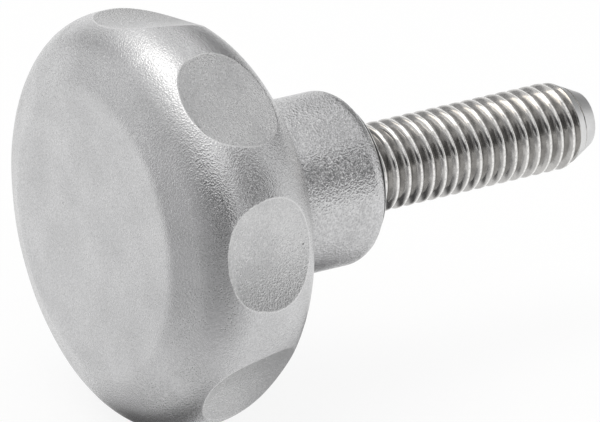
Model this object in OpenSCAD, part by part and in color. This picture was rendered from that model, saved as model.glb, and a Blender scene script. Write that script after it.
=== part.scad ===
// Star knob with a threaded stud.
// A round cast cap with eight finger scallops stands on a plain hub, and a stud is screwed into
// a blind hole in the hub's end. The stud points along +Y, the flat face looks along -Y, and the
// origin is the centre of the turned seat on the hub's end. Outside the hub the stud's thread is
// drawn as closed rings at its pitch. Inside it the stud is a plain cylinder at the pitch line,
// where the threads of stud and hole share the room.

/* [Cap] */
// Diameter over the cap's rim
cap_d = 36.5; // [35:0.5:42]
// Rounding of the rim toward the hub
rim_back_r = 8.4; // [6:0.1:9.2]
// Straight band of the rim between its two roundings
rim_band = 0.8; // [0.2:0.1:2]
// Rounding of the rim toward the face
rim_front_r = 4.4; // [3:0.1:6]
// Slope of the conical shoulder between the rim and the face, in degrees
shoulder_slope = 21; // [12:1:30]
// Width of the conical shoulder, measured straight out from the axis
shoulder_w = 2.4; // [1:0.1:4]
// Rounding of the edge between the shoulder and the flat face
face_edge_r = 3; // [1:0.1:6]

/* [Scallops] */
// Number of finger scallops round the rim
scallop_count = 8; // [5:1:9]
// Radius of each scallop's hollow
scallop_r = 17; // [12:0.5:24]
// Depth of the scallops at the middle of the rim
scallop_depth = 1.2; // [0.6:0.1:1.8]
// Lean of the scallops, deeper toward the hub, in degrees
scallop_lean = 8.5; // [0:0.5:12]
// Turn of the first scallop about the stud, from +X toward -Z, in degrees
scallop_turn = -7.5; // [-22:0.5:22]

/* [Hub] */
// Diameter of the hub
hub_d = 15.5; // [13:0.5:17]
// Length of the hub from the cap's back to its seat
hub_l = 11.2; // [8:0.1:18]
// Fillet where the hub meets the cap
hub_root_r = 0.8; // [0.4:0.1:1]
// Rounding of the hub's end
hub_end_r = 1.5; // [0.6:0.1:1.8]
// Diameter of the turned seat on the hub's end
seat_d = 13; // [11:0.1:13.4]
// Height of the turned seat above the rounded casting
seat_h = 0.2; // [0.1:0.05:0.5]

/* [Stud] */
// Diameter over the thread's crests
stud_d = 7.9; // [5.9:0.1:8.9]
// Pitch of the stud's thread
thread_pitch = 1.25; // [0.8:0.05:1.5]
// Length of the stud outside the hub
stud_l = 25; // [15:1:60]
// Height above the seat at which the full crests begin
crest_start = 0.4; // [0.2:0.1:1]
// Depth of the blind hole that the stud is screwed into
hole_l = 16; // [10:0.5:20]
// Length of the cone at the stud's tip
tip_l = 2.9; // [1:0.1:4]
// Diameter of the stud's flat tip
tip_d = 5.1; // [3:0.1:5.6]
// Chamfer on the stud's inner end
stud_chamfer = 0.8; // [0.3:0.1:1.2]
// Countersink at the mouth of the hole
hole_chamfer = 0.6; // [0.4:0.1:0.8]
// Clearance between the stud and the hole, all round
clearance = 0.05; // [0.02:0.01:0.1]

/* [Hidden] */
$fn = 96;

cap_r = cap_d / 2;
hub_r = hub_d / 2;
seat_r = seat_d / 2;
stud_r = stud_d / 2;

// Form of the thread: shares of its pitch, and half the angle of its grooves
pitch_line_share = 0.325;
thread_depth_share = 0.613;
crest_share = 0.125;
flank_angle = 30;
pitch_r = stud_r - pitch_line_share * thread_pitch;
hole_r = pitch_r + clearance;
thread_depth = thread_depth_share * thread_pitch;
crest_w = crest_share * thread_pitch;
groove_w = thread_pitch - crest_w;

// Heights along the stud, with the seat at 0
casting_end_z = -seat_h;
cap_back_z = -hub_l;
rim_back_z = cap_back_z - rim_back_r;
rim_front_z = rim_back_z - rim_band;
rim_mid_z = (rim_back_z + rim_front_z) / 2;

// The shoulder runs smoothly into the rim's front rounding and into the rounded edge of the face
shoulder_out = [sin(shoulder_slope), -cos(shoulder_slope)];
front_centre = [cap_r - rim_front_r, rim_front_z];
shoulder_start = front_centre + rim_front_r * shoulder_out;
shoulder_end = shoulder_start - shoulder_w * [1, tan(shoulder_slope)];
edge_centre = shoulder_end - face_edge_r * shoulder_out;
face_z = edge_centre.y - face_edge_r;

// Small amount by which cutters pass the faces that they open
over = 1;
// Share of the room between its neighbours that a scallop cutter takes
slice_share = 0.9;
// Depth by which the flat faces of the cap's section lie inside its roundings
set_in = 0.01;

// Quarter of a disc, with its corner at the given centre and its round side up and out
module quarter_disc(centre, r) {
    translate(centre) intersection() {
        circle(r);
        square(r + over);
    }
}

// Half of a disc, with its round side toward the face
module half_disc(centre, r) {
    translate(centre) intersection() {
        circle(r);
        translate([-r - over, -r - over]) square([2 * (r + over), r + over]);
    }
}

// Half section of the cap: face, rounded edge, shoulder, front rounding, rim band and back rounding
module cap_section() {
    // Flat face and shoulder, both set in by a hair so that they cross the roundings at clear lines
    polygon([
        [0, face_z + set_in], [edge_centre.x, face_z + set_in],
        shoulder_end - set_in * shoulder_out, shoulder_start - set_in * shoulder_out,
        front_centre, [0, rim_front_z]
    ]);
    // Rounded edge of the face
    half_disc(edge_centre, face_edge_r);
    // Front rounding
    half_disc(front_centre, rim_front_r);
    // Rim band and the middle of the cap
    translate([0, rim_front_z]) square([cap_r, rim_band]);
    translate([0, rim_back_z]) square([cap_r - rim_back_r, rim_back_r]);
    quarter_disc([cap_r - rim_back_r, rim_back_z], rim_back_r);
}

// Half section of the hub: root fillet, straight side, rounded end and turned seat
module hub_section() {
    round_z = casting_end_z - hub_end_r;
    translate([0, cap_back_z]) square([hub_r, round_z - cap_back_z]);
    translate([0, round_z]) square([hub_r - hub_end_r, hub_end_r]);
    quarter_disc([hub_r - hub_end_r, round_z], hub_end_r);
    translate([0, round_z]) square([seat_r, hub_end_r + seat_h]);
    difference() {
        translate([hub_r, cap_back_z]) square(hub_root_r);
        translate([hub_r + hub_root_r, cap_back_z + hub_root_r]) circle(hub_root_r);
    }
}

// Round cutters for the finger scallops, leaning toward the stud's axis at the hub's side. Each is
// a slice of a large cylinder, narrow enough to stay clear of its neighbours.
module scallop_cutters() {
    floor_r = cap_r - scallop_depth;
    slice_t = 2 * (scallop_depth + over);
    slice_w = 2 * (floor_r - over) * tan(180 / scallop_count) * slice_share;
    slice_h = 2 * (rim_front_r + rim_band + rim_back_r);
    for (i = [0 : scallop_count - 1])
        rotate(scallop_turn + i * 360 / scallop_count)
            translate([floor_r, 0, rim_mid_z])
                rotate([0, -scallop_lean, 0])
                    intersection() {
                        translate([scallop_r, 0, 0])
                            cylinder(r = scallop_r, h = slice_h + over, center = true);
                        cube([slice_t, slice_w, slice_h], center = true);
                    }
}

// Blind hole in the hub, with a countersunk mouth
module stud_hole() {
    translate([0, 0, -hole_l]) cylinder(r = hole_r, h = hole_l + over);
    translate([0, 0, -hole_chamfer])
        cylinder(r1 = hole_r, r2 = hole_r + hole_chamfer + over, h = hole_chamfer + over);
}

// Turns a shape made along Z so that it lies along Y, toward the stud's tip
module along_stud() {
    rotate([-90, 0, 0]) children();
}

module knob_body() {
    color("silver")
        along_stud()
            difference() {
                rotate_extrude() {
                    cap_section();
                    hub_section();
                }
                scallop_cutters();
                stud_hole();
            }
}

// Half section of one groove of the thread, with its lower edge on the crests at the origin
module thread_groove() {
    flank_w = thread_depth * tan(flank_angle);
    polygon([
        [0, 0], [-thread_depth, flank_w], [-thread_depth, groove_w - flank_w], [0, groove_w],
        [over, groove_w], [over, 0]
    ]);
}

// Half section of the stud: chamfered inner end, thread and coned tip
module stud_section() {
    tip_z = stud_l - tip_l;
    first_groove_z = crest_start + crest_w;
    groove_count = floor((tip_z - first_groove_z) / thread_pitch);
    polygon([
        [0, -hole_l], [pitch_r - stud_chamfer, -hole_l], [pitch_r, stud_chamfer - hole_l],
        [pitch_r, crest_start], [0, crest_start]
    ]);
    difference() {
        polygon([[0, crest_start], [stud_r, crest_start], [stud_r, tip_z], [tip_d / 2, stud_l], [0, stud_l]]);
        for (i = [0 : groove_count - 1])
            translate([stud_r, first_groove_z + i * thread_pitch]) thread_groove();
    }
}

module threaded_stud() {
    color("lightgray")
        along_stud()
            rotate_extrude()
                stud_section();
}

knob_body();
threaded_stud();
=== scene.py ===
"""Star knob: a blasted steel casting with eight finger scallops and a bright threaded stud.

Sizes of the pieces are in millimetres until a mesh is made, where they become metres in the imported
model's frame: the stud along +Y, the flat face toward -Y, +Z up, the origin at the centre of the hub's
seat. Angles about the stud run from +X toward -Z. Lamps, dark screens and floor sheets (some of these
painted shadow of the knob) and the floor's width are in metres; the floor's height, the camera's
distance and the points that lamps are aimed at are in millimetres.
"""
import logging
import math
from dataclasses import dataclass, field
from enum import Enum

import bmesh
import bpy
import numpy as np
from mathutils import Matrix, Vector, noise


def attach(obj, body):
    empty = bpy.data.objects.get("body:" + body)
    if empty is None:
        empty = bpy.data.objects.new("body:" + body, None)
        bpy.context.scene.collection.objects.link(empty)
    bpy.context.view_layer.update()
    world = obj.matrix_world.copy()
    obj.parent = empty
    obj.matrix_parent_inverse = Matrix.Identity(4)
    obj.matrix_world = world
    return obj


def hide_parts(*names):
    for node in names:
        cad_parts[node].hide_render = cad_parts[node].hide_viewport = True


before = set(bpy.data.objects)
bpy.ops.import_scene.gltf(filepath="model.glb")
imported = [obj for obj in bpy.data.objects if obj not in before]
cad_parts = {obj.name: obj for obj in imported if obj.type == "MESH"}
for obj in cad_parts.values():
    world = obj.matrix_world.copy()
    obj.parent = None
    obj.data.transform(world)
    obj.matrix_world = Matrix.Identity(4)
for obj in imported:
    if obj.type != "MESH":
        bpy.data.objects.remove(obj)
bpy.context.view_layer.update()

MM = 0.001
BODY = "root"
Colour = tuple[float, float, float]
Pair = tuple[float, float]
Profile = list[Pair]
Array = np.ndarray
Tree = bpy.types.NodeTree
Node = bpy.types.Node
Socket = bpy.types.NodeSocket
Material = bpy.types.Material
Object = bpy.types.Object

# Names of the point values that the materials read
# Edges and crests worn bright, with a painted highlight along them
RUB_HIGHLIGHT = "rub_highlight"
SHADE = "shade"

# Distances in millimetres below which points are welded, and below which a point counts as on the axis
WELD = 2e-4
ON_AXIS = 1e-6

# Places of the sockets on a Mix node that mixes colours: factor and both colours, and the result
MIX_INPUTS = (0, 6, 7)
MIX_RESULT = 2

# Room for a node in the editor, and the whole range of a mask or tone
NODE_STEP = 220
FULL = (0.0, 1.0)

# Heights at which dark sheets lie over the floor, in metres; those right under the knob are painted shadow
# of it
LOW_SHADOW_Z = -0.018
FLOOR_SHEET_Z = -0.0176
HIGH_SHADOW_Z = -0.0172

log = logging.getLogger("star_knob")


class Zone(Enum):
    """Stretches of the casting, in the order of their material slots."""

    CAP = 0
    SCALLOP = 1
    HUB = 2
    SEAT = 3
    # Lower wall of the groove under the seat's edge, whose dark colour is painted shade
    GAP = 4


class StudZone(Enum):
    """Stretches of the stud, in the order of their material slots."""

    THREAD = 0
    TIP = 1


class NodeSheet:
    """Short-hand for adding and joining the nodes of one tree."""

    def __init__(self, tree: Tree) -> None:
        """Keeps the tree and clears it.

        Args:
            tree: Node tree of a material, a world or a group.
        """
        self.tree = tree
        self.tree.nodes.clear()
        self.column = 0

    def add(self, kind: str, inputs: dict[str, object] | None = None, **settings: object) -> Node:
        """Adds a node.

        Args:
            kind: Blender's name of the node type.
            inputs: Plain values or sockets for its inputs, by name.
            **settings: Properties of the node.

        Returns:
            The new node.
        """
        node = self.tree.nodes.new(kind)
        node.location = (self.column * NODE_STEP, 0)
        self.column += 1
        for name, value in settings.items():
            setattr(node, name, value)
        for name, value in (inputs or {}).items():
            self.feed(node.inputs[name], value)
        return node

    def feed(self, socket: Socket, value: object) -> None:
        """Joins a socket to another one, or sets its value.

        Args:
            socket: Input that is fed.
            value: Output socket, or a plain value.
        """
        if isinstance(value, Socket):
            self.tree.links.new(value, socket)
        else:
            socket.default_value = value

    def math(self, operation: str, *values: object, clamp: bool = False) -> Socket:
        """Adds a math node.

        Args:
            operation: Blender's name of the operation.
            *values: Its inputs, sockets or numbers.
            clamp: Whether the result is kept between 0 and 1.

        Returns:
            The result's socket.
        """
        node = self.add("ShaderNodeMath", operation=operation, use_clamp=clamp)
        for socket, value in zip(node.inputs, values):
            self.feed(socket, value)
        return node.outputs[0]

    def spread(self, value: object, reads: Pair, gives: Pair = FULL) -> Socket:
        """Maps one range of values smoothly to another.

        Args:
            value: Socket that is mapped.
            reads: Start and end of the range that is read.
            gives: Results at the start and at the end.

        Returns:
            The result's socket.
        """
        names = ("Value", "From Min", "From Max", "To Min", "To Max")
        inputs = dict(zip(names, (value, *reads, *gives)))
        return self.add("ShaderNodeMapRange", inputs, interpolation_type="SMOOTHSTEP").outputs["Result"]

    def blend(self, factor: object, first: object, second: object) -> Socket:
        """Mixes two colours.

        Args:
            factor: Share of the second colour.
            first: Colour or socket.
            second: Colour or socket.

        Returns:
            The mixed colour's socket.
        """
        node = self.add("ShaderNodeMix", data_type="RGBA")
        for place, value in zip(MIX_INPUTS, (factor, first, second)):
            self.feed(node.inputs[place], (*value, 1.0) if isinstance(value, tuple) else value)
        return node.outputs[MIX_RESULT]

    def cloud(self, **inputs: object) -> Socket:
        """Adds a noise texture with its inputs by name, and gives the noise value's socket."""
        return self.add("ShaderNodeTexNoise", inputs).outputs["Fac"]

    def place(self, group: Tree, **inputs: object) -> Node:
        """Places an effect group with its inputs by name, underscores standing for spaces."""
        named = {name.replace("_", " "): value for name, value in inputs.items()}
        return self.add("ShaderNodeGroup", named, node_tree=group)

    def layer(self, factor: object, below: object, above: object) -> Socket:
        """Mixes two shaders.

        Args:
            factor: Share of the upper shader.
            below: Socket of the lower shader.
            above: Socket of the upper shader.

        Returns:
            The mixed shader's socket.
        """
        node = self.add("ShaderNodeMixShader")
        for socket, value in zip(node.inputs, (factor, below, above)):
            self.feed(socket, value)
        return node.outputs["Shader"]

    def show(self, shader: object, kind: str = "ShaderNodeOutputMaterial") -> None:
        """Joins a shader to a new output node."""
        self.add(kind, {"Surface": shader})


def new_material(name: str) -> tuple[Material, NodeSheet]:
    """Makes a material without nodes.

    Args:
        name: Name of the material.

    Returns:
        The material, and the sheet for its nodes.
    """
    material = bpy.data.materials.new(name)
    material.use_nodes = True
    return material, NodeSheet(material.node_tree)


def put(name: str, data: bpy.types.ID) -> Object:
    """Makes an object and links it to the scene.

    Args:
        name: Name of the object.
        data: Its mesh, lamp or camera.

    Returns:
        The new object.
    """
    thing = bpy.data.objects.new(name, data)
    bpy.context.scene.collection.objects.link(thing)
    return thing


class Effects:
    """Surface effects that several finishes share, each built once as a node group."""

    # Grain, counted in grain sizes: dimples over a finer roughness, and the heights that its tone spans
    DIMPLE_SCALE = 0.8
    DIMPLE_SMOOTHNESS = 0.4
    DIMPLE_SHARE = 0.5
    FINE_SCALE = 1.3
    FINE_DETAIL = 1.5
    GRAIN_HEIGHTS = (0.45, 1.1)
    # Pits: how crooked and how steep they are, and the smallest of their sizes as a share
    PIT_BEND_SCALE = 12.0
    PIT_BEND_FROM = 0.5
    PIT_SIZE_FROM = 0.5
    PIT_STEEPNESS = 2.5
    # Mottle, and edges worn bright with a painted highlight: the noise values that are read, and the cover
    # at an edge's breaks
    PATCH_DETAIL = 3.0
    PATCH_RANGE = (0.3, 0.7)
    BREAK_RANGE = (0.25, 0.6)
    BREAK_COVER = (0.35, 1.0)

    def __init__(self) -> None:
        """Builds the groups."""
        self.grain = self._grain()
        self.pits = self._pits()
        self.mottle = self._mottle()
        self.worn_highlight = self._worn_highlight()

    @staticmethod
    def _start(
        name: str, inputs: dict[str, float], outputs: tuple[str, ...]
    ) -> tuple[NodeSheet, Node, Node]:
        """Starts a group with named number sockets.

        Args:
            name: Name of the group.
            inputs: Input names with their usual values.
            outputs: Output names.

        Returns:
            The sheet, the group's input node and its output node.
        """
        tree = bpy.data.node_groups.new(name, "ShaderNodeTree")
        for label, value in inputs.items():
            socket = tree.interface.new_socket(label, in_out="INPUT", socket_type="NodeSocketFloat")
            socket.default_value = value
        for label in outputs:
            tree.interface.new_socket(label, in_out="OUTPUT", socket_type="NodeSocketFloat")
        sheet = NodeSheet(tree)
        return sheet, sheet.add("NodeGroupInput"), sheet.add("NodeGroupOutput")

    @staticmethod
    def _place_in_sizes(sheet: NodeSheet, size: object) -> Socket:
        """Gives the surface point counted in features of a size.

        Args:
            sheet: Sheet of the group.
            size: Socket with the size of a feature in millimetres.

        Returns:
            The vector's socket.
        """
        place = sheet.add("ShaderNodeTexCoord").outputs["Object"]
        node = sheet.add("ShaderNodeVectorMath", operation="SCALE")
        sheet.feed(node.inputs[0], place)
        sheet.feed(node.inputs["Scale"], sheet.math("DIVIDE", 1 / MM, size))
        return node.outputs[0]

    def _grain(self) -> Tree:
        """Blasted grain: rounded dimples of one size over a finer, irregular roughness.

        Returns:
            Group with a height and a tone that follows it.
        """
        sheet, given, result = self._start("Blasted grain", {"Grain size": 0.25}, ("Height", "Tone"))
        point = self._place_in_sizes(sheet, given.outputs["Grain size"])
        inputs = {"Vector": point, "Scale": self.DIMPLE_SCALE, "Smoothness": self.DIMPLE_SMOOTHNESS}
        cells = sheet.add("ShaderNodeTexVoronoi", inputs, feature="SMOOTH_F1")
        dimples = sheet.math("MULTIPLY", cells.outputs["Distance"], self.DIMPLE_SHARE)
        fine = sheet.cloud(Vector=point, Scale=self.FINE_SCALE, Detail=self.FINE_DETAIL)
        height = sheet.math("ADD", dimples, fine)
        sheet.feed(result.inputs["Height"], height)
        sheet.feed(result.inputs["Tone"], sheet.spread(height, self.GRAIN_HEIGHTS))
        return sheet.tree

    def _pits(self) -> Tree:
        """Small casting pits, scattered thinly.

        Returns:
            Group with a mask, 1 inside a pit.
        """
        usual = {"Spacing": 1.5, "Share": 0.2, "Pit radius": 0.07}
        sheet, given, result = self._start("Casting pits", usual, ("Mask",))
        point = self._place_in_sizes(sheet, given.outputs["Spacing"])
        cells = sheet.add("ShaderNodeTexVoronoi", {"Vector": point, "Scale": 1.0})
        draws = sheet.add("ShaderNodeSeparateColor", {"Color": cells.outputs["Color"]})
        chosen = sheet.math("LESS_THAN", draws.outputs[0], given.outputs["Share"])
        reach = sheet.math("DIVIDE", given.outputs["Pit radius"], given.outputs["Spacing"])
        reach = sheet.math("MULTIPLY", reach, sheet.math("ADD", draws.outputs[1], self.PIT_SIZE_FROM))
        bend = sheet.cloud(Vector=point, Scale=self.PIT_BEND_SCALE)
        bend = sheet.math("ADD", bend, self.PIT_BEND_FROM)
        depth = sheet.math("SUBTRACT", bend, sheet.math("DIVIDE", cells.outputs["Distance"], reach))
        mask = sheet.math("MULTIPLY", depth, self.PIT_STEEPNESS, clamp=True)
        sheet.feed(result.inputs["Mask"], sheet.math("MULTIPLY", mask, chosen))
        return sheet.tree

    def _mottle(self) -> Tree:
        """Slow unevenness of tone over a surface.

        Returns:
            Group with a tone from 0 to 1.
        """
        sheet, given, result = self._start("Slow mottle", {"Patch size": 6.0}, ("Tone",))
        point = self._place_in_sizes(sheet, given.outputs["Patch size"])
        cloud = sheet.cloud(Vector=point, Scale=1.0, Detail=self.PATCH_DETAIL)
        sheet.feed(result.inputs["Tone"], sheet.spread(cloud, self.PATCH_RANGE))
        return sheet.tree

    def _worn_highlight(self) -> Tree:
        """Edges and crests that handling and tools have worn bright, with a painted highlight along them,
        broken up a little.

        Returns:
            Group with a mask, 1 where the surface is worn bright and painted as a highlight.
        """
        sheet, given, result = self._start("Worn edge and painted highlight", {"Break size": 0.5}, ("Mask",))
        point = self._place_in_sizes(sheet, given.outputs["Break size"])
        broken = sheet.spread(sheet.cloud(Vector=point, Scale=1.0), self.BREAK_RANGE, self.BREAK_COVER)
        edge = sheet.add("ShaderNodeAttribute", attribute_name=RUB_HIGHLIGHT)
        mask = sheet.math("MULTIPLY", edge.outputs["Fac"], broken, clamp=True)
        sheet.feed(result.inputs["Mask"], mask)
        return sheet.tree


@dataclass(frozen=True, kw_only=True)
class SteelFinish:
    """Steel with a fine grain. Sizes are in millimetres; roughness is that of the pale and deep tone."""

    name: str
    pale: Colour
    deep: Colour
    roughness: Pair
    grain_size: float
    grain_depth: float
    slow_share: float
    patch_size: float
    break_size: float
    # Colour of edges and crests worn bright, which also paints a highlight on them
    rub_highlight_colour: Colour
    # Pits, if their share is above 0, with their depth counted in grain depths, and their dark colour,
    # which is painted shade in the pits
    pit_share: float = 0.0
    pit_spacing: float = 1.6
    pit_radius: float = 0.06
    pit_depth: float = 3.0
    pit_shade_colour: Colour = (0.16, 0.155, 0.15)

    def material(self, effects: Effects) -> Material:
        """Builds the material.

        Args:
            effects: Shared effect groups.

        Returns:
            The new material.
        """
        material, sheet = new_material(self.name)
        grain = sheet.place(effects.grain, Grain_size=self.grain_size).outputs
        slow = sheet.place(effects.mottle, Patch_size=self.patch_size).outputs["Tone"]
        rub_highlight = sheet.place(effects.worn_highlight, Break_size=self.break_size).outputs["Mask"]
        fine = sheet.math("MULTIPLY", grain["Tone"], 1 - self.slow_share)
        tone = sheet.math("MULTIPLY_ADD", slow, self.slow_share, fine)
        colour = sheet.blend(tone, self.deep, self.pale)
        # Painted highlight, with wear, along edges and crests
        colour = sheet.blend(rub_highlight, colour, self.rub_highlight_colour)
        height = grain["Height"]
        if self.pit_share > 0:
            sizes = {"Spacing": self.pit_spacing, "Pit_radius": self.pit_radius}
            pits = sheet.place(effects.pits, Share=self.pit_share, **sizes).outputs["Mask"]
            # Painted shade: the pits are darkened
            colour = sheet.blend(pits, colour, self.pit_shade_colour)
            height = sheet.math("ADD", height, sheet.math("MULTIPLY", pits, -self.pit_depth))
        bump = sheet.add("ShaderNodeBump", {"Distance": self.grain_depth * MM, "Height": height})
        shader = sheet.add("ShaderNodeBsdfPrincipled", {
            "Metallic": 1.0,
            "Base Color": colour,
            "Roughness": sheet.spread(tone, FULL, self.roughness[::-1]),
            "Normal": bump.outputs["Normal"],
        })
        sheet.show(shader.outputs["BSDF"])
        return material


@dataclass(frozen=True, kw_only=True)
class BlastedFinish(SteelFinish):
    """Matte blasted steel."""

    slow_share: float = 0.35
    patch_size: float = 5.0
    break_size: float = 0.6
    rub_highlight_colour: Colour = (0.74, 0.74, 0.74)


@dataclass(frozen=True, kw_only=True)
class BrightFinish(SteelFinish):
    """Bright turned or rolled steel."""

    slow_share: float = 0.6
    patch_size: float = 1.6
    break_size: float = 0.25
    rub_highlight_colour: Colour = (0.9, 0.89, 0.87)


def around(angle: Array, along: float | Array, radius: float | Array) -> Array:
    """Gives points about the stud's axis.

    Args:
        angle: Angle from +X toward -Z, in radians.
        along: Place along +Y.
        radius: Distance from the axis.

    Returns:
        Array of X, Y, Z.
    """
    angle, along, radius = np.broadcast_arrays(angle, along, radius)
    return np.stack([radius * np.cos(angle), along, -radius * np.sin(angle)], axis=-1)


def arc(centre: Pair, radius: float, start: float, end: float, count: int) -> Profile:
    """Gives points of a profile's arc.

    Args:
        centre: Distance from the axis and place along it.
        radius: Radius of the arc.
        start: First angle in degrees, 0 away from the axis and 90 toward the stud's tip.
        end: Last angle.
        count: Number of points.

    Returns:
        Pairs of distance from the axis and place along it.
    """
    turn = np.radians(np.linspace(start, end, count))
    return [(centre[0] + radius * math.cos(t), centre[1] + radius * math.sin(t)) for t in turn]


def cells_of(grid: Array) -> Array:
    """Gives the four corners of each cell of a grid, in order round the cell.

    Args:
        grid: Values at the grid's points.

    Returns:
        Array with four values a row.
    """
    corners = [grid[:-1, :-1], grid[:-1, 1:], grid[1:, 1:], grid[1:, :-1]]
    return np.stack(corners, axis=-1).reshape(-1, 4)


@dataclass
class Draft:
    """Points, faces, face zones, and edges worn bright with a painted highlight, of one piece, in
    millimetres.
    """

    points: list[tuple[float, float, float]] = field(default_factory=list)
    faces: list[tuple[int, ...]] = field(default_factory=list)
    zones: list[int] = field(default_factory=list)
    rub_highlight: list[float] = field(default_factory=list)

    def add(self, points: Array, rub_highlight: float | Array = 0.0) -> Array:
        """Adds points.

        Args:
            points: Array whose last axis is X, Y, Z.
            rub_highlight: How bright the points are worn and painted as a highlight, one number or one for
                each.

        Returns:
            Numbers of the points, in the shape of the array.
        """
        shape = points.shape[:-1]
        first = len(self.points)
        self.points += [tuple(p) for p in points.reshape(-1, 3).tolist()]
        self.rub_highlight += np.broadcast_to(rub_highlight, shape).reshape(-1).tolist()
        return np.arange(first, len(self.points)).reshape(shape)

    def skin(self, rows: Array, zone: Enum) -> None:
        """Covers a grid of points with four-sided faces, each row running back to its start.

        Args:
            rows: Point numbers, one row after the other.
            zone: Zone of the faces.
        """
        quads = cells_of(np.concatenate([rows, rows[:, :1]], axis=1))
        self.faces += [tuple(q) for q in quads.tolist()]
        self.zones += [zone.value] * len(quads)

    def fan(self, centre: Array, row: Array, zone: Enum) -> None:
        """Covers a closed row with triangles round a centre point.

        Args:
            centre: The centre point, as an array of one point.
            row: Numbers of the row's points.
            zone: Zone of the faces.
        """
        middle = int(self.add(centre)[0])
        for here, there in zip(row.tolist(), np.roll(row, -1).tolist()):
            self.faces.append((middle, here, there))
            self.zones.append(zone.value)

    def cap(self, row: Array, along: float, zone: Enum) -> None:
        """Closes a row with a flat end, whose middle is at a place on the axis."""
        self.fan(np.array([[0.0, along, 0.0]]), row, zone)

    def lathe(self, turn: Array, profile: Profile, zone: Enum) -> Array:
        """Turns a profile about the axis.

        Args:
            turn: Angles of the columns, in radians.
            profile: Pairs of distance from the axis and place along it.
            zone: Zone of the faces.

        Returns:
            Point numbers, by point of the profile and angle.
        """
        line = np.array(profile)
        rows = self.add(around(turn[None], line[:, 1:2], line[:, :1]))
        self.skin(rows, zone)
        return rows

    def build(self, name: str, materials: list[Material], sharp_deg: float) -> Object:
        """Makes the object, with seams closed, faces turned outward and smooth shading.

        Args:
            name: Name of the piece.
            materials: Its materials, in the order of the zones.
            sharp_deg: Angle between faces above which an edge stays sharp.

        Returns:
            The new object.
        """
        mesh = bpy.data.meshes.new(name)
        mesh.from_pydata([Vector(p) * MM for p in self.points], [], self.faces)
        mesh.polygons.foreach_set("material_index", self.zones)
        values = mesh.attributes.new(RUB_HIGHLIGHT, "FLOAT", "POINT")
        values.data.foreach_set("value", self.rub_highlight)
        work = bmesh.new()
        work.from_mesh(mesh)
        bmesh.ops.remove_doubles(work, verts=work.verts, dist=WELD * MM)
        bmesh.ops.dissolve_degenerate(work, edges=work.edges, dist=WELD * MM)
        bmesh.ops.recalc_face_normals(work, faces=work.faces)
        work.to_mesh(mesh)
        work.free()
        mesh.shade_smooth()
        mesh.set_sharp_from_angle(angle=math.radians(sharp_deg))
        for material in materials:
            mesh.materials.append(material)
        return put(name, mesh)


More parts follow.
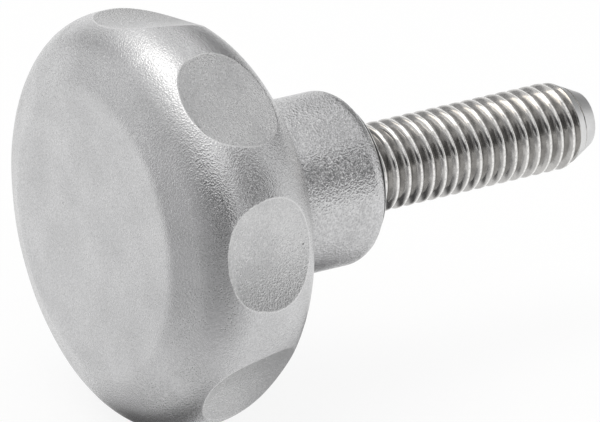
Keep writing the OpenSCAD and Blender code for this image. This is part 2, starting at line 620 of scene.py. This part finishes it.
@dataclass
class KnobBody:
    """Cap and hub, cast in one: a flat face, a sloped shoulder, a rim with scallops and a turned seat."""

    cap_r: float = 18.25
    rim_back_r: float = 8.4
    rim_front_r: float = 4.4
    rim_band: float = 0.8
    shoulder_slope: float = 21.0
    shoulder_w: float = 2.4
    face_edge_r: float = 3.0
    scallops: int = 8
    scallop_r: float = 17.0
    scallop_depth: float = 1.2
    scallop_lean: float = math.radians(8.5)
    scallop_turn: float = math.radians(-7.5)
    hub_r: float = 7.75
    hub_l: float = 11.2
    hub_root_r: float = 0.8
    hub_end_r: float = 1.8
    seat_r: float = 6.5
    seat_h: float = 0.2
    seat_chamfer: float = 0.05
    # Height of the seat's wall that stays bright above the painted shade of the groove
    seat_bright: float = 0.09
    groove_deg: float = 3.5
    groove_depth: float = 0.12
    groove_w: float = 0.01
    hole_r: float = 3.594
    hole_chamfer: float = 0.6
    hole_l: float = 16.0
    # Softened edges of the scallops, worn bright with a painted highlight along them
    edge_soft: float = 0.07
    rub_highlight_reach: float = 0.9
    # Unevenness of the casting, the margin round seat and hole that stays even, and how far in front of
    # the rim's band the unevenness turns from across the axis to along it
    cast_wave: float = 0.05
    cast_wave_size: float = 4.0
    even_margin: float = 1.0
    face_from: float = 2.0
    # The scalloped belt of the rim, and the rings that follow each scallop's edge in it
    belt_front_deg: float = 35.0
    belt_back_deg: float = 62.0
    steps_across: int = 32
    ring_centre: float = 0.475
    ring_steps: tuple[float, ...] = (
        0.006, 0.014, 0.024, 0.038, 0.06, 0.1, 0.16, 0.26, 0.38, 0.52, 0.68, 0.84
    )
    land_stretch: float = 2.0
    edge_trials: int = 40
    # Points of the turned profile
    face_start_r: float = 0.3
    back_flat: float = 0.6
    face_points: int = 22
    face_edge_points: int = 10
    shoulder_points: int = 6
    front_points: int = 8
    back_points: int = 14
    root_points: int = 5
    hub_points: int = 12
    end_points: int = 14
    seat_points: int = 5
    sharp_deg: float = 40.0

    def __post_init__(self) -> None:
        """Works out the centres of the cap's roundings."""
        self.back_y = -self.hub_l
        self.rim_back_y = self.back_y - self.rim_back_r
        self.rim_front_y = self.rim_back_y - self.rim_band
        self.rim_mid_y = (self.rim_back_y + self.rim_front_y) / 2
        self.front_centre = (self.cap_r - self.rim_front_r, self.rim_front_y)
        self.back_centre = (self.cap_r - self.rim_back_r, self.rim_back_y)
        slope = math.radians(self.shoulder_slope)
        across = self.rim_front_r - self.face_edge_r
        self.edge_centre = (
            self.front_centre[0] + across * math.sin(slope) - self.shoulder_w,
            self.front_centre[1] - across * math.cos(slope) - self.shoulder_w * math.tan(slope),
        )
        self.face_y = self.edge_centre[1] - self.face_edge_r

    def _belt(self, share: Array) -> tuple[Array, Array]:
        """Gives the rim's plain profile between the front and the back of the scalloped belt.

        Args:
            share: Place on the belt, from 0 at the front to 1 at the back.

        Returns:
            Distance from the axis and place along it.
        """
        front = self.rim_front_r * math.radians(90 - self.belt_front_deg)
        back = self.rim_back_r * math.radians(self.belt_back_deg)
        run = share * (front + self.rim_band + back)
        lead = np.clip((front - run) / self.rim_front_r, 0, None)
        trail = np.clip((run - front - self.rim_band) / self.rim_back_r, 0, None)
        radius = np.where(
            lead > 0,
            self.front_centre[0] + self.rim_front_r * np.cos(lead),
            self.back_centre[0] + self.rim_back_r * np.cos(trail),
        )
        along = self.rim_front_y + np.clip(run - front, 0, self.rim_band)
        along = along - self.rim_front_r * np.sin(lead) + self.rim_back_r * np.sin(trail)
        return radius, along

    def _hollow(self, angle: Array, along: Array) -> Array:
        """Gives the distance of a scallop's leaning round floor from the knob's axis.

        Args:
            angle: Angle from the scallop's middle, in radians.
            along: Place along the axis.

        Returns:
            Distance from the axis.
        """
        lean = math.cos(self.scallop_lean)
        floor = self.cap_r - self.scallop_depth + self.scallop_r * lean
        middle = self.rim_mid_y + self.scallop_r * math.sin(self.scallop_lean)
        centre = floor - (along - middle) * math.tan(self.scallop_lean)
        flat = (np.cos(angle) * lean) ** 2 + np.sin(angle) ** 2
        half = centre * np.cos(angle) * lean**2
        rest = half**2 - flat * ((centre * lean) ** 2 - self.scallop_r**2)
        return np.where(rest > 0, (half - np.sqrt(np.clip(rest, 0, None))) / flat, self.cap_r * 2)

    def _rim(self, angle: Array, share: Array) -> tuple[Array, Array, Array]:
        """Gives the rim with its scallops, whose edges are softened a little.

        Args:
            angle: Angle from the scallop's middle, in radians.
            share: Place on the belt.

        Returns:
            Distance from the axis, place along it, and how far the scallop's floor is above the plain rim.
        """
        plain, along = self._belt(share)
        hollow = self._hollow(angle, along)
        above = hollow - plain
        mix = np.clip(0.5 + 0.5 * above / self.edge_soft, 0, 1)
        radius = hollow * (1 - mix) + plain * mix - self.edge_soft * mix * (1 - mix)
        return radius, along, above

    def _edge(self, side_a: Array, side_s: Array) -> Array:
        """Finds a scallop's edge on the ways from its centre to the border of its land.

        Args:
            side_a: Angles of the border's points from the scallop's middle, in radians.
            side_s: Places of the border's points on the belt.

        Returns:
            Shares of the ways, from 0 at the centre to 1 at the border.
        """
        low = np.zeros_like(side_a)
        high = np.ones_like(side_a)
        for _ in range(self.edge_trials):
            trial = (low + high) / 2
            share = self.ring_centre + (side_s - self.ring_centre) * trial
            inside = self._rim(side_a * trial, share)[2] < 0
            low = np.where(inside, trial, low)
            high = np.where(inside, high, trial)
        return (low + high) / 2

    def _sector(self, draft: Draft, middle: float) -> None:
        """Adds one scallop with the land round it, in rings that follow the scallop's edge.

        Args:
            draft: Draft that takes the points and faces.
            middle: Angle of the scallop's middle, in radians.
        """
        steps = np.linspace(-1, 1, self.steps_across + 1)[:-1]
        ones = np.ones_like(steps)
        side_a = np.concatenate([steps, ones, -steps, -ones]) * math.pi / self.scallops
        side_s = np.concatenate([-ones, steps, ones, -steps]) * 0.5 + 0.5
        edge = self._edge(side_a, side_s)
        away = np.array(self.ring_steps)
        land = np.unique(np.append(away * self.land_stretch, 1.0).clip(0, 1))
        inner = edge * (1 - away[::-1, None])
        outer = edge + (1 - edge) * land[:, None]
        reach = np.concatenate([inner, edge[None], outer])
        angle = side_a * reach
        share = self.ring_centre + (side_s - self.ring_centre) * reach
        radius, along, above = self._rim(angle, share)
        # Painted highlight, with wear, along the scallops' edges
        rub_highlight = np.clip(1 - np.abs(above) / (self.rub_highlight_reach * self.edge_soft), 0, 1)
        rows = draft.add(around(middle + angle, along, radius), rub_highlight)
        draft.skin(rows[: len(inner) + 1], Zone.SCALLOP)
        draft.skin(rows[len(inner) :], Zone.CAP)
        radius, along, _ = self._rim(np.zeros(1), np.full(1, self.ring_centre))
        draft.fan(around(np.full(1, middle), along, radius), rows[0], Zone.SCALLOP)

    def _front(self) -> Profile:
        """Gives the profile from near the face's middle, over the shoulder, to the scalloped belt.

        Returns:
            Pairs of distance from the axis and place along it.
        """
        slope = self.shoulder_slope - 90
        reach = np.linspace(self.face_start_r, self.edge_centre[0], self.face_points)
        face = [(radius, self.face_y) for radius in reach]
        edge = arc(self.edge_centre, self.face_edge_r, -90, slope, self.face_edge_points)
        belt = self.belt_front_deg - 90
        rounding = arc(self.front_centre, self.rim_front_r, slope, belt, self.front_points)
        steps = np.linspace(0, 1, self.shoulder_points)[1:-1, None]
        shoulder = np.array(edge[-1]) * (1 - steps) + np.array(rounding[0]) * steps
        return face[:-1] + edge + [tuple(p) for p in shoulder.tolist()] + rounding

    def _stretches(self) -> list[tuple[Zone, Profile]]:
        """Gives the profile behind the belt.

        Returns:
            Stretches of the profile, each with its zone.
        """
        end_y = -self.seat_h - self.hub_end_r
        end_centre = (self.hub_r - self.hub_end_r, end_y)
        meet = math.degrees(math.acos((self.seat_r - end_centre[0]) / self.hub_end_r))
        root = (self.hub_r + self.hub_root_r, self.back_y + self.hub_root_r)
        chamfer_r = self.seat_r - self.seat_chamfer
        mouth = self.hole_r + self.hole_chamfer
        back = arc(self.back_centre, self.rim_back_r, self.belt_back_deg, 90, self.back_points)
        back += [(root[0] + self.back_flat, self.back_y)]
        back += arc(root, self.hub_root_r, 270, 225, self.root_points)
        hub = arc(root, self.hub_root_r, 225, 180, self.root_points)
        hub += [(self.hub_r, y) for y in np.linspace(root[1], end_y, self.hub_points)[1:-1]]
        hub += arc(end_centre, self.hub_end_r, 0, meet - self.groove_deg, self.end_points)
        deep = hub[-1][1] - self.groove_depth
        # The groove's lower wall takes the dark painted shade
        gap = [hub[-1], (self.seat_r + self.groove_w, deep), (self.seat_r, deep)]
        gap += [(self.seat_r, -self.seat_bright)]
        seat = [gap[-1], (self.seat_r, -self.seat_chamfer), (chamfer_r, 0.0)]
        seat += [(r, 0.0) for r in np.linspace(chamfer_r, mouth, self.seat_points)[1:]]
        seat += [(self.hole_r, -self.hole_chamfer), (self.hole_r, -self.hole_l)]
        return [(Zone.CAP, back), (Zone.HUB, hub), (Zone.GAP, gap), (Zone.SEAT, seat)]

    def _wave(self, draft: Draft) -> None:
        """Gives the cast surfaces a slight unevenness, never outward.

        Args:
            draft: Draft whose points are moved.
        """
        for number, (x, y, z) in enumerate(draft.points):
            radius = math.hypot(x, z)
            near_hole = radius < self.hole_r + self.even_margin and y > self.back_y
            if y > -self.even_margin or near_hole:
                continue
            swell = noise.noise(Vector((x, y, z)) / self.cast_wave_size)
            depth = self.cast_wave * (swell - 1) / 2
            if y < self.rim_front_y - self.face_from or radius < ON_AXIS:
                draft.points[number] = (x, y - depth, z)
            else:
                scale = 1 + depth / radius
                draft.points[number] = (x * scale, y, z * scale)

    def build(self, materials: list[Material]) -> Object:
        """Builds the piece.

        Args:
            materials: Materials in the order of Zone.

        Returns:
            The new object.
        """
        draft = Draft()
        for number in range(self.scallops):
            self._sector(draft, self.scallop_turn + number * math.tau / self.scallops)
        total = self.steps_across * self.scallops
        turn = self.scallop_turn - math.pi / self.scallops + np.arange(total) * math.tau / total
        rows = draft.lathe(turn, self._front(), Zone.CAP)
        draft.cap(rows[0], self.face_y, Zone.CAP)
        for zone, profile in self._stretches():
            rows = draft.lathe(turn, profile, zone)
        draft.cap(rows[-1], -self.hole_l, Zone.SEAT)
        self._wave(draft)
        return draft.build("knob_casting", materials, self.sharp_deg)


@dataclass
class ThreadedStud:
    """Length of bright threaded rod: a right-handed rolled thread, a coned tip and a plain inner end."""

    crest_r: float = 3.95
    pitch: float = 1.25
    thread_depth: float = 0.767
    crest_share: float = 0.125
    root_share: float = 0.17
    length: float = 25.0
    tip_l: float = 2.9
    tip_r: float = 2.55
    inner_r: float = 3.54
    inner_l: float = 16.0
    inner_chamfer: float = 0.8
    start_y: float = -1.4
    fade_l: float = 0.5
    phase: float = 0.47
    # Swell of the flanks, and the flat, the drop and the worn edge of the crests, which also carries a
    # painted highlight
    flank_round: float = 0.95
    flank_power: float = 1.7
    crest_flat: float = 0.8
    crest_drop: float = 0.012
    crest_edge_rub_highlight: float = 0.8
    # Steps of the mesh, turns drawn ahead of the start, and turns drawn in all beyond the length
    steps_flank: int = 8
    steps_round: int = 128
    turns_before: int = 2
    turns_spare: int = 3
    sharp_deg: float = 50.0

    def _stations(self) -> list[tuple[float, float, float]]:
        """Gives the thread's section over one pitch.

        Returns:
            Place, depth below the crest and how far it is worn bright and painted as a highlight, for each
            station.
        """
        crest = self.crest_share * self.pitch / 2
        root = self.root_share * self.pitch / 2
        half = self.pitch / 2
        places = np.linspace(crest, half, self.steps_flank + 1)[1:]
        straight = np.clip((places - crest) / (half - crest - root), 0, 1)
        swollen = ((places - crest) / (half - crest)) ** self.flank_power
        depths = self.thread_depth * (straight * (1 - self.flank_round) + swollen * self.flank_round)
        side = [(0.0, 0.0, 1.0), (crest * self.crest_flat, 0.0, 1.0)]
        side += [(crest, self.crest_drop, self.crest_edge_rub_highlight)]
        side += [(float(p), float(d), 0.0) for p, d in zip(places, depths)]
        mirror = [(self.pitch - v, d, r) for v, d, r in side[-2:0:-1]]
        return side + mirror

    def _radius(self, along: Array, depth: Array) -> tuple[Array, Array]:
        """Gives the thread's distance from the axis, cut by the tip's cone and faded out inside the hub.

        Args:
            along: Place along the axis.
            depth: Depth below the crests.

        Returns:
            Distance from the axis, and whether the cone cuts there.
        """
        taper = (self.crest_r - self.tip_r) / self.tip_l
        cone = self.crest_r - (along - self.length + self.tip_l) * taper
        radius = self.crest_r - depth
        cut = radius > cone
        fade = np.clip(-along / self.fade_l, 0, 1)
        return np.where(cut, cone, radius) * (1 - fade) + self.inner_r * fade, cut

    def build(self, materials: list[Material]) -> Object:
        """Builds the piece.

        Args:
            materials: Materials in the order of StudZone.

        Returns:
            The new object.
        """
        draft = Draft()
        stations = np.array(self._stations())
        turns = math.ceil((self.length - self.start_y) / self.pitch) + self.turns_spare
        base = self.start_y + (self.phase - self.turns_before) * self.pitch
        rise = (np.arange(turns)[:, None] * self.pitch + stations[None, :, 0]).reshape(-1) + base
        depth = np.tile(stations[:, 1], turns)
        # Painted highlight, with wear, along the crests
        rub_highlight = np.tile(stations[:, 2], turns)
        turn = np.arange(self.steps_round) * math.tau / self.steps_round
        along = (rise[:, None] + self.pitch * turn[None] / math.tau).clip(self.start_y, self.length)
        radius, cut = self._radius(along, depth[:, None])
        rows = draft.add(around(turn[None], along, radius), np.where(cut, 0.0, rub_highlight[:, None]))
        self._skin(draft, rows, cut, len(stations))
        self._ends(draft, turn)
        return draft.build("stud_thread", materials, self.sharp_deg)

    @staticmethod
    def _skin(draft: Draft, rows: Array, cut: Array, per_turn: int) -> None:
        """Covers the helical grid, whose last column runs on into the first one a pitch further.

        Args:
            draft: Draft that takes the faces.
            rows: Point numbers, by station along the thread and angle.
            cut: Whether the tip's cone cuts at each point.
            per_turn: Stations in one pitch.
        """
        quads, turned = (
            cells_of(np.concatenate([grid[:-per_turn], grid[per_turn:, :1]], axis=1))
            for grid in (rows, cut)
        )
        draft.faces += [tuple(q) for q in quads.tolist()]
        draft.zones += np.where(turned.all(axis=1), StudZone.TIP.value, StudZone.THREAD.value).tolist()

    def _ends(self, draft: Draft, turn: Array) -> None:
        """Adds the flat tip and the plain inner end.

        Args:
            draft: Draft that takes the points and faces.
            turn: Angles of the thread's columns.
        """
        outer = draft.add(around(turn, self.length, self.tip_r))
        draft.cap(outer, self.length, StudZone.TIP)
        shank = [
            (self.inner_r, self.start_y),
            (self.inner_r, self.inner_chamfer - self.inner_l),
            (self.inner_r - self.inner_chamfer, -self.inner_l),
        ]
        rows = draft.lathe(turn, shank, StudZone.THREAD)
        draft.cap(rows[-1], -self.inner_l, StudZone.THREAD)


def direction(azimuth: float, elevation: float) -> Vector:
    """Gives the way from the knob to a viewer or lamp.

    Args:
        azimuth: Degrees, 0 in front of the flat face and 90 at +X.
        elevation: Degrees above the floor.

    Returns:
        Unit vector.
    """
    a = math.radians(azimuth)
    e = math.radians(elevation)
    return Vector((math.sin(a) * math.cos(e), -math.cos(a) * math.cos(e), math.sin(e)))


@dataclass(frozen=True)
class SoftLamp:
    """Soft box with its width and height, and the point in millimetres that it is aimed at."""

    name: str
    azimuth: float
    elevation: float
    distance: float
    size: Pair
    level: float
    colour: Colour
    aim: tuple[float, float, float] = (0.0, -8.0, 0.0)

    def build(self) -> None:
        """Adds the lamp."""
        lamp = bpy.data.lights.new(self.name, "AREA")
        lamp.shape = "RECTANGLE"
        lamp.size, lamp.size_y = self.size
        lamp.energy = self.level * math.pi * self.size[0] * self.size[1]
        lamp.color = self.colour
        away = direction(self.azimuth, self.elevation)
        holder = put(self.name, lamp)
        holder.location = Vector(self.aim) * MM + away * self.distance
        holder.rotation_euler = away.to_track_quat("Z", "Y").to_euler()


@dataclass(frozen=True)
class DarkSheet:
    """Dark sheet with soft borders, which shows only where the metal mirrors it. Some, laid on the floor
    under the knob, are painted shadow of the knob.

    It runs round its middle between two azimuths, from a low to a high border, each given by distance
    and height. The fade is the share of its width and height that each border takes.
    """

    name: str
    turn: Pair
    low: Pair
    high: Pair
    fade: Pair
    colour: Colour
    middle: Pair = (0.0, 0.0)
    steps: tuple[int, int] = (60, 24)

    def build(self) -> None:
        """Hangs or lays the cloth round its middle."""
        turns = np.linspace(*self.turn, self.steps[0] + 1)
        shares = np.linspace(0, 1, self.steps[1] + 1)
        aways = self.low[0] + (self.high[0] - self.low[0]) * shares
        rises = self.low[1] + (self.high[1] - self.low[1]) * shares
        middles = [Vector((*self.middle, rise)) for rise in rises]
        points = [direction(t, 0.0) * away + middle for t in turns for away, middle in zip(aways, middles)]
        numbers = np.arange(len(points)).reshape(len(turns), len(shares))
        mesh = bpy.data.meshes.new(self.name)
        mesh.from_pydata(points, [], cells_of(numbers.T).tolist())
        values = mesh.attributes.new(SHADE, "FLOAT", "POINT")
        values.data.foreach_set("value", self._cover(shares).reshape(-1))
        mesh.materials.append(self._material())
        cloth = put(self.name, mesh)
        cloth.visible_camera = False
        cloth.visible_shadow = False
        cloth.visible_diffuse = False

    def _cover(self, shares: Array) -> Array:
        """Gives how dense the cloth is, by place across and place up.

        Args:
            shares: Places up the cloth, from 0 to 1.

        Returns:
            Cover from 0 to 1, falling off smoothly toward the borders.
        """
        sides = np.linspace(0, 1, self.steps[0] + 1)
        across = np.clip(np.minimum(sides, 1 - sides) / self.fade[0], 0, 1)
        up = np.clip(np.minimum(shares, 1 - shares) / self.fade[1], 0, 1)
        cover = across[:, None] * up[None]
        return cover * cover * (3 - 2 * cover)

    def _material(self) -> Material:
        """Builds the cloth's material, clear where it is thin.

        Returns:
            The new material.
        """
        material, sheet = new_material(self.name)
        shade = sheet.add("ShaderNodeAttribute", attribute_name=SHADE)
        dark = sheet.add("ShaderNodeBsdfDiffuse", {"Color": (*self.colour, 1.0)})
        clear = sheet.add("ShaderNodeBsdfTransparent")
        sheet.show(sheet.layer(shade.outputs["Fac"], clear.outputs["BSDF"], dark.outputs["BSDF"]))
        return material


@dataclass
class Studio:
    """Plain pale floor, soft boxes, a white surround, dark screens round the knob, and dark sheets on the
    floor, some of them painted shadow of the knob that only the metal mirrors.
    """

    floor_z: float = -18.17
    floor_size: float = 6.0
    floor_glow: float = 0.86
    floor_colours: tuple[Colour, Colour] = ((0.95, 0.95, 0.95), (0.97, 0.97, 0.97))
    floor_cloud: float = 3.0
    floor_roughness: float = 0.8
    floor_gloss: float = 0.1
    ambient: float = 0.86
    lamps: tuple[SoftLamp, ...] = (
        SoftLamp("top_box", -28.0, 71.0, 0.6, (0.38, 0.38), 1.6, (1.0, 0.985, 0.96)),
        SoftLamp("thread_box", 0.0, 0.0, 0.025, (0.032, 0.032), 1.45, (1.0, 0.9, 0.77),
                 (-10.0, 15.0, 37.0)),
    )
    dark_sheets: tuple[DarkSheet, ...] = (
        DarkSheet("right_card", (98.0, 150.0), (0.5, -0.02), (0.32, 0.42),
                  (0.25, 0.2), (0.2, 0.2, 0.202)),
        DarkSheet("back_card", (166.0, 243.0), (0.5, -0.02), (0.43, 0.35),
                  (0.25, 0.25), (0.2, 0.2, 0.202)),
        DarkSheet("back_roof", (150.0, 206.0), (0.34, 0.3), (0.14, 0.42),
                  (0.3, 0.3), (0.6, 0.6, 0.605)),
        DarkSheet("left_screen", (-88.0, -38.0), (0.5, 0.0), (0.42, 0.32),
                  (0.3, 0.3), (0.5, 0.5, 0.505)),
        DarkSheet("low_screen", (-50.0, 16.0), (0.5, -0.03), (0.49, 0.08),
                  (0.25, 0.3), (0.3, 0.3, 0.305)),
        DarkSheet("front_screen", (-34.0, 112.0), (0.5, -0.02), (0.42, 0.32),
                  (0.35, 0.35), (0.36, 0.36, 0.365)),
        DarkSheet("viewer_screen", (8.0, 98.0), (0.46, -0.02), (0.40, 0.26),
                  (0.35, 0.35), (0.05, 0.05, 0.052)),
        DarkSheet("viewer_apron", (-45.0, 105.0), (0.022, FLOOR_SHEET_Z), (0.75, FLOOR_SHEET_Z),
                  (0.42, 0.06), (0.36, 0.36, 0.365)),
        # Painted shadow of the knob on the floor under the cap and hub, seen only in the metal
        DarkSheet("under_cap_painted_shadow", (-32.0, 32.0), (0.02, FLOOR_SHEET_Z), (0.055, FLOOR_SHEET_Z),
                  (0.48, 0.48), (0.6, 0.6, 0.605), (0.003, 0.03)),
        # Painted shadow of the knob on the floor under the rim's front, seen only in the metal
        DarkSheet("rim_painted_shadow", (-96.0, -83.0), (0.03, LOW_SHADOW_Z), (0.058, LOW_SHADOW_Z),
                  (0.45, 0.35), (0.3, 0.3, 0.302), (0.05, -0.0235)),
        # Painted shadow of the knob on the floor under the stud and hub, seen only in the metal
        DarkSheet("under_stud_painted_shadow", (-15.0, 8.0), (0.016, HIGH_SHADOW_Z), (0.055, HIGH_SHADOW_Z),
                  (0.4, 0.3), (0.2, 0.2, 0.202), (0.0, 0.03)),
    )

    def build(self) -> None:
        """Builds the floor, the dark screens and sheets with the painted shadow among them, the lamps and
        the surround.
        """
        self._floor()
        for item in self.dark_sheets + self.lamps:
            item.build()
        self._surround()

    @staticmethod
    def _seen(sheet: NodeSheet) -> Socket:
        """Gives 1 for rays that look at the surroundings, straight or by way of metal or glass.

        Args:
            sheet: Sheet of the material or world.

        Returns:
            The value's socket.
        """
        rays = sheet.add("ShaderNodeLightPath")
        seen = sheet.math("ADD", rays.outputs["Is Camera Ray"], rays.outputs["Is Glossy Ray"])
        return sheet.math("ADD", seen, rays.outputs["Is Transmission Ray"], clamp=True)

    def _floor(self) -> None:
        """Lays the pale floor at the rim's lowest point."""
        material, sheet = new_material("pale_floor")
        shader = sheet.add("ShaderNodeBsdfPrincipled", {
            "Base Color": sheet.blend(sheet.cloud(Scale=self.floor_cloud), *self.floor_colours),
            "Roughness": self.floor_roughness,
            "Specular IOR Level": self.floor_gloss,
        })
        white = sheet.add("ShaderNodeEmission")
        glow = sheet.math("MULTIPLY", self._seen(sheet), self.floor_glow)
        sheet.show(sheet.layer(glow, shader.outputs["BSDF"], white.outputs["Emission"]))
        mesh = bpy.data.meshes.new("floor")
        half = self.floor_size / 2
        corners = [(x * half, y * half, 0.0) for x, y in ((-1, -1), (1, -1), (1, 1), (-1, 1))]
        mesh.from_pydata(corners, [], [(0, 1, 2, 3)])
        mesh.materials.append(material)
        floor = put("floor", mesh)
        floor.location.z = self.floor_z * MM

    def _surround(self) -> None:
        """Makes the world: white where it is seen or mirrored, softer as a light."""
        world = bpy.data.worlds.new("white_surround")
        bpy.context.scene.world = world
        world.use_nodes = True
        sheet = NodeSheet(world.node_tree)
        level = sheet.math("MULTIPLY_ADD", self._seen(sheet), 1.0 - self.ambient, self.ambient)
        sky = sheet.add("ShaderNodeBackground", {"Color": (1.0, 1.0, 1.0, 1.0), "Strength": level})
        sheet.show(sky.outputs["Background"], "ShaderNodeOutputWorld")


@dataclass(frozen=True)
class PhotoCamera:
    """Camera at the photograph's place, given by where it sees the seat's centre."""

    azimuth: float = 57.06
    elevation: float = 21.43
    distance: float = 452.1
    focal_px: float = 5200.0
    seat_px: Pair = (345.0, 174.1)
    image_px: Pair = (600.0, 422.0)
    sensor_mm: float = 36.0
    clip_m: Pair = (0.01, 50.0)

    def build(self) -> None:
        """Adds the camera and makes it the scene's own."""
        back = direction(self.azimuth, self.elevation)
        turned = math.radians(self.azimuth)
        right = Vector((math.cos(turned), math.sin(turned), 0.0))
        up = back.cross(right)
        scale = self.distance / self.focal_px
        aside = (self.seat_px[0] - self.image_px[0] / 2) * scale
        above = (self.image_px[1] / 2 - self.seat_px[1]) * scale
        lens = bpy.data.cameras.new("photo_camera")
        lens.sensor_width = self.sensor_mm
        lens.sensor_fit = "HORIZONTAL"
        lens.lens = self.focal_px * self.sensor_mm / self.image_px[0]
        lens.clip_start, lens.clip_end = self.clip_m
        place = (back * self.distance - right * aside - up * above) * MM
        turn = Matrix((right, up, back)).transposed().to_4x4()
        holder = put("photo_camera", lens)
        holder.matrix_world = Matrix.Translation(place) @ turn
        bpy.context.scene.camera = holder


KNOB_FINISHES: dict[Zone, SteelFinish] = {
    Zone.CAP: BlastedFinish(
        name="blasted_cap", pale=(0.68, 0.68, 0.685), deep=(0.51, 0.51, 0.515), roughness=(0.21, 0.28),
        grain_size=0.15, grain_depth=0.042, pit_share=0.12,
    ),
    Zone.SCALLOP: BlastedFinish(
        name="blasted_scallop", pale=(0.70, 0.70, 0.70), deep=(0.48, 0.48, 0.485), roughness=(0.25, 0.32),
        grain_size=0.14, grain_depth=0.035, pit_share=0.1,
    ),
    Zone.HUB: BlastedFinish(
        name="blasted_hub", pale=(0.71, 0.71, 0.715), deep=(0.42, 0.42, 0.425), roughness=(0.15, 0.24),
        grain_size=0.2, grain_depth=0.06, pit_share=0.22, pit_spacing=1.3,
    ),
    Zone.SEAT: BrightFinish(
        name="turned_seat", pale=(0.76, 0.76, 0.76), deep=(0.66, 0.66, 0.66), roughness=(0.2, 0.3),
        grain_size=0.1, grain_depth=0.002,
    ),
    # Painted shade: a dark colour for the groove under the seat's edge
    Zone.GAP: BrightFinish(
        name="seat_gap_painted_shade", pale=(0.09, 0.09, 0.09), deep=(0.04, 0.04, 0.04), roughness=(0.45, 0.55),
        grain_size=0.1, grain_depth=0.002,
    ),
}
STUD_FINISHES: dict[StudZone, SteelFinish] = {
    StudZone.THREAD: BrightFinish(
        name="rolled_thread", pale=(0.58, 0.57, 0.555), deep=(0.40, 0.393, 0.385), roughness=(0.1, 0.18),
        grain_size=0.2, grain_depth=0.003,
    ),
    StudZone.TIP: BrightFinish(
        name="satin_tip", pale=(0.76, 0.76, 0.755), deep=(0.66, 0.66, 0.66), roughness=(0.34, 0.42),
        grain_size=0.12, grain_depth=0.006,
    ),
}


def report(piece: Object) -> None:
    """Logs a piece's name, triangles and box.

    Args:
        piece: Finished piece.
    """
    triangles = sum(len(p.vertices) - 2 for p in piece.data.polygons)
    size = [round(d / MM, 2) for d in piece.dimensions]
    log.info("%s: %d triangles, %s mm", piece.name, triangles, size)


def fit_in(piece: Object, node: str) -> None:
    """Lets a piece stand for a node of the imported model.

    Args:
        piece: Finished piece.
        node: Node that it replaces.
    """
    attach(piece, BODY)
    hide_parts(node)
    report(piece)


def main() -> None:
    """Builds the knob, the stud, the studio and the camera."""
    logging.basicConfig(level=logging.INFO, format="%(name)s: %(message)s")
    bpy.context.scene.view_settings.view_transform = "Standard"
    effects = Effects()
    body = KnobBody().build([KNOB_FINISHES[zone].material(effects) for zone in Zone])
    fit_in(body, "knob_body")
    stud = ThreadedStud().build([STUD_FINISHES[zone].material(effects) for zone in StudZone])
    fit_in(stud, "threaded_stud")
    Studio().build()
    PhotoCamera().build()


if __name__ == "__main__":
    main()
